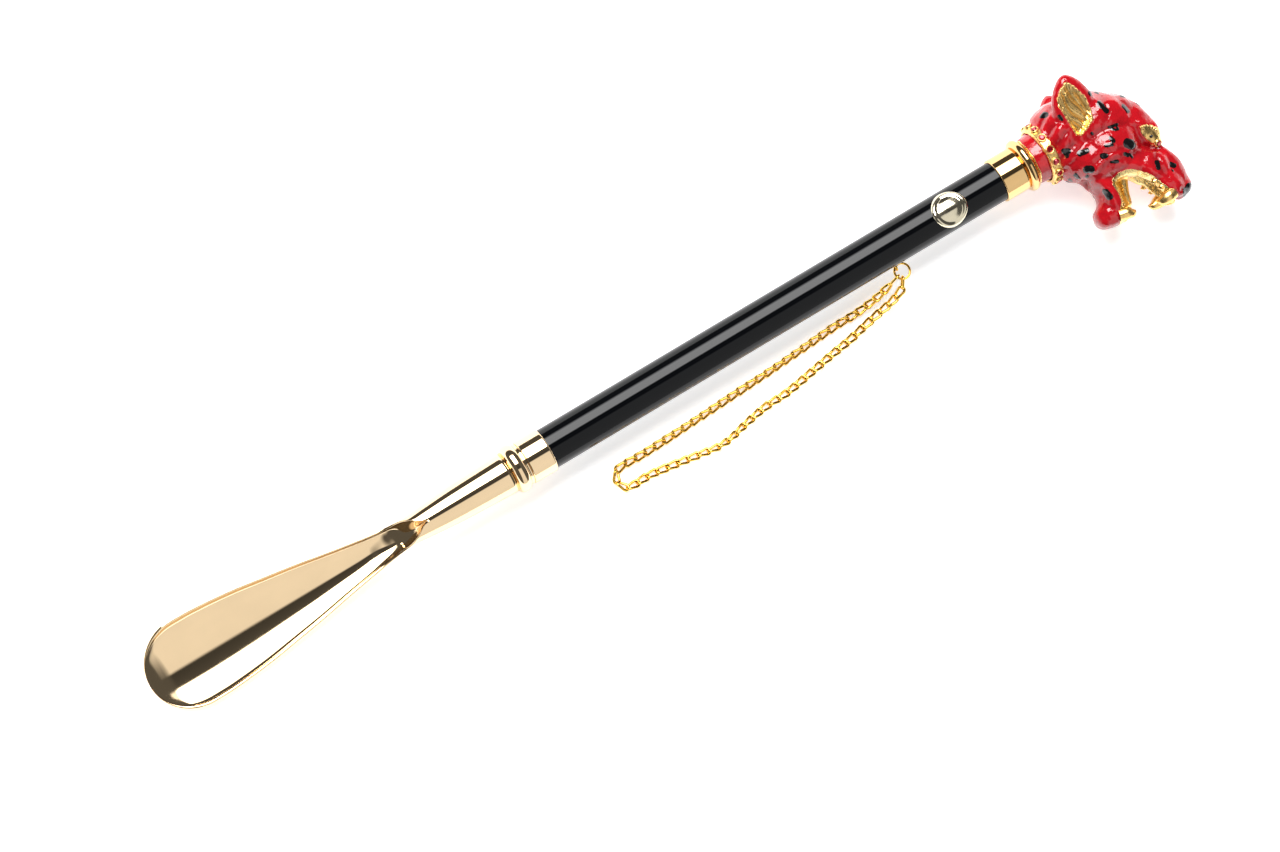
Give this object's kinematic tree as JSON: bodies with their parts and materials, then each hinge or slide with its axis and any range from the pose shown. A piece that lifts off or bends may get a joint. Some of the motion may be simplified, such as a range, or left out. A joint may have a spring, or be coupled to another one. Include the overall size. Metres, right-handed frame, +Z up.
{
  "type": "long shoehorn",
  "caption": "Long shoehorn with a polished trough blade, lacquered round shaft, cast animal-head grip with jewelled collar, and a hanging wrist chain.",
  "frame": {"origin": "on the table, under the middle of the box of the object without its chain", "axes": "+X along the shaft from the blade's tip to the head, +Z up with the blade's trough and the head's right side up, snout and chain towards -Y"},
  "size_m": [0.5166, 0.0748, 0.0411],
  "materials": {
    "pale_gold_plate": "mirror polished pale gold plate on cast brass",
    "yellow_gold_plate": "mirror polished yellow gold plate on turned brass",
    "champagne_gold_plate": "satin champagne plate",
    "chain_gold_plate": "polished deep yellow plate on wire",
    "steel": "plain turned",
    "black_lacquer": "high-gloss black lacquer on hardwood",
    "red_enamel": "glossy red enamel over gold-plated casting, black spots",
    "red_crystal": "faceted clear red crystal"
  },
  "bodies": {
    "shoehorn": {"shoehorn_blade": "pale_gold_plate", "lower_bead_ring": "pale_gold_plate", "lower_ferrule": "pale_gold_plate", "blade_stud": "steel", "shaft": "black_lacquer", "upper_ferrule": "yellow_gold_plate", "upper_bead_ring": "yellow_gold_plate", "head_stud": "steel", "leopard_head": "red_enamel", "collar_crystal_01": "red_crystal", "collar_crystal_02": "red_crystal", "collar_crystal_03": "red_crystal", "collar_crystal_04": "red_crystal", "collar_crystal_05": "red_crystal", "collar_crystal_06": "red_crystal", "collar_crystal_07": "red_crystal", "collar_crystal_08": "red_crystal", "collar_crystal_09": "red_crystal", "collar_crystal_10": "red_crystal", "collar_crystal_11": "red_crystal", "collar_crystal_12": "red_crystal", "collar_crystal_13": "red_crystal", "collar_crystal_14": "red_crystal", "eye_crystal_left": "red_crystal", "eye_crystal_right": "red_crystal", "shaft_badge": "champagne_gold_plate", "screw_eye": "yellow_gold_plate"},
    "jump_ring": {"jump_ring": "yellow_gold_plate"},
    "wrist_chain": {"wrist_chain": "chain_gold_plate", "chain_end_link_inner": "chain_gold_plate", "chain_end_link_outer": "chain_gold_plate"}
  },
  "joints": [
    {"name": "ring_swing", "type": "hinge", "parent": "shoehorn", "child": "jump_ring", "pos_m": [0.12195, 0.00255, 0.01441], "axis": [1, 0, 0], "range_deg": [-60, 90]},
    {"name": "chain_swing", "type": "hinge", "parent": "jump_ring", "child": "wrist_chain", "pos_m": [0.12373, -0.00053, 0.01441], "axis": [0, 0, 1], "range_deg": [0, 100]}
  ]
}
